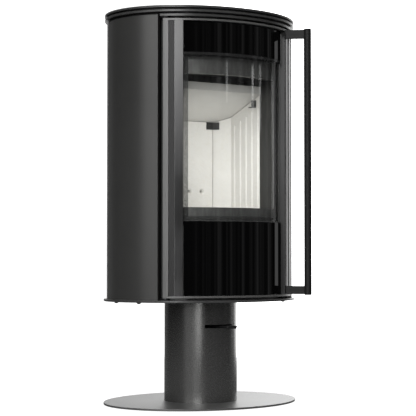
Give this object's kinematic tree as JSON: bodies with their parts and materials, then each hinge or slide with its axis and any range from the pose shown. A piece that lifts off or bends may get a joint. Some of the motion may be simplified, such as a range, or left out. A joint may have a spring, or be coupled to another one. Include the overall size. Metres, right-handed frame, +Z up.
{
  "type": "wood burning stove",
  "caption": "Oval wood burning stove on a round pedestal and floor plate, with a curved glazed door, a tall bar handle and a brick-lined firebox.",
  "frame": {"origin": "on the floor, under the middle of the oval body", "axes": "+Z up, -Y is the front with the door, +X is to the right of somebody facing the door"},
  "size_m": [0.542, 0.435, 1.046],
  "materials": {
    "floor_plate_paint": "satin",
    "pedestal_paint": "satin",
    "body_plate_paint": "satin",
    "cladding_paint": "satin",
    "recess_black": "matt",
    "firebox_steel": "matt",
    "zinc_sheet": "satin",
    "valve_steel": "satin",
    "lever_paint": "satin",
    "bolt_steel": "satin",
    "bush_brass": "satin",
    "vermiculite": "matt",
    "grate_iron": "rough",
    "door_paint": "satin",
    "trim_gloss": "gloss",
    "black_glass": "gloss",
    "window_glass": "gloss",
    "border_print": "satin",
    "rope_seal": "woven",
    "handle_paint": "satin"
  },
  "bodies": {
    "stove": {"base_plate": "floor_plate_paint", "pedestal_rings": "zinc_sheet", "pedestal_tube": "pedestal_paint", "pedestal_bolts": "bolt_steel", "outside_air_duct": "zinc_sheet", "air_valve_seat": "valve_steel", "body_bottom_plate": "body_plate_paint", "body_fasteners": "bolt_steel", "left_cladding": "cladding_paint", "right_cladding": "cladding_paint", "rear_panel": "cladding_paint", "front_posts": "recess_black", "convection_shield": "zinc_sheet", "air_plenum": "firebox_steel", "rear_air_channel": "firebox_steel", "firebox_shell": "firebox_steel", "firebox_floor": "firebox_steel", "firebox_top_plate": "firebox_steel", "firebox_front_plate": "firebox_steel", "firebox_cheeks": "firebox_steel", "airwash_deflector": "firebox_steel", "smoke_deflector": "firebox_steel", "flue_collar": "firebox_steel", "side_bricks": "vermiculite", "corner_bricks": "vermiculite", "back_brick": "vermiculite", "hearth_bricks": "vermiculite", "grate": "grate_iron", "baffle_board": "vermiculite", "baffle_brackets": "firebox_steel", "ash_compartment": "firebox_steel", "ash_pan": "zinc_sheet", "front_top_ring": "body_plate_paint", "rear_top_ring": "recess_black", "spacer_rings": "recess_black", "middle_top_plate": "body_plate_paint", "top_cover_plate": "body_plate_paint", "hinge_brackets": "recess_black", "hinge_pins": "bolt_steel", "catch_brackets": "valve_steel"},
    "door": {"door_frame": "door_paint", "door_screws": "bolt_steel", "door_edge_strips": "door_paint", "door_trim_strips": "trim_gloss", "glass_edge_strips": "trim_gloss", "upper_glass_panel": "black_glass", "lower_glass_panel": "black_glass", "window_glass": "window_glass", "window_border": "border_print", "glass_gasket": "rope_seal", "door_gasket": "rope_seal", "handle_bar": "handle_paint", "handle_arms": "handle_paint", "latch_tongues": "valve_steel", "hinge_bushes": "bush_brass"},
    "air_control": {"air_damper_disc": "valve_steel", "air_spindle": "bolt_steel", "air_lever": "lever_paint"},
    "lower_roller": {"lower_catch_roller": "bolt_steel"},
    "upper_roller": {"upper_catch_roller": "bolt_steel"}
  },
  "joints": [
    {"name": "door_hinge", "type": "hinge", "parent": "stove", "child": "door", "pos_m": [-0.18885, -0.13167, 0.638], "axis": [0, 0, -1], "range_deg": [0, 105]},
    {"name": "air_lever_turn", "type": "hinge", "parent": "stove", "child": "air_control", "pos_m": [0, 0, 0.2], "axis": [0, 0, 1], "range_deg": [-27, 13]},
    {"name": "lower_roller_spin", "type": "hinge", "parent": "stove", "child": "lower_roller", "pos_m": [0.1704, -0.092, 0.42], "axis": [0, 0, 1], "continuous": true},
    {"name": "upper_roller_spin", "type": "hinge", "parent": "stove", "child": "upper_roller", "pos_m": [0.1704, -0.092, 0.8], "axis": [0, 0, 1], "continuous": true}
  ]
}
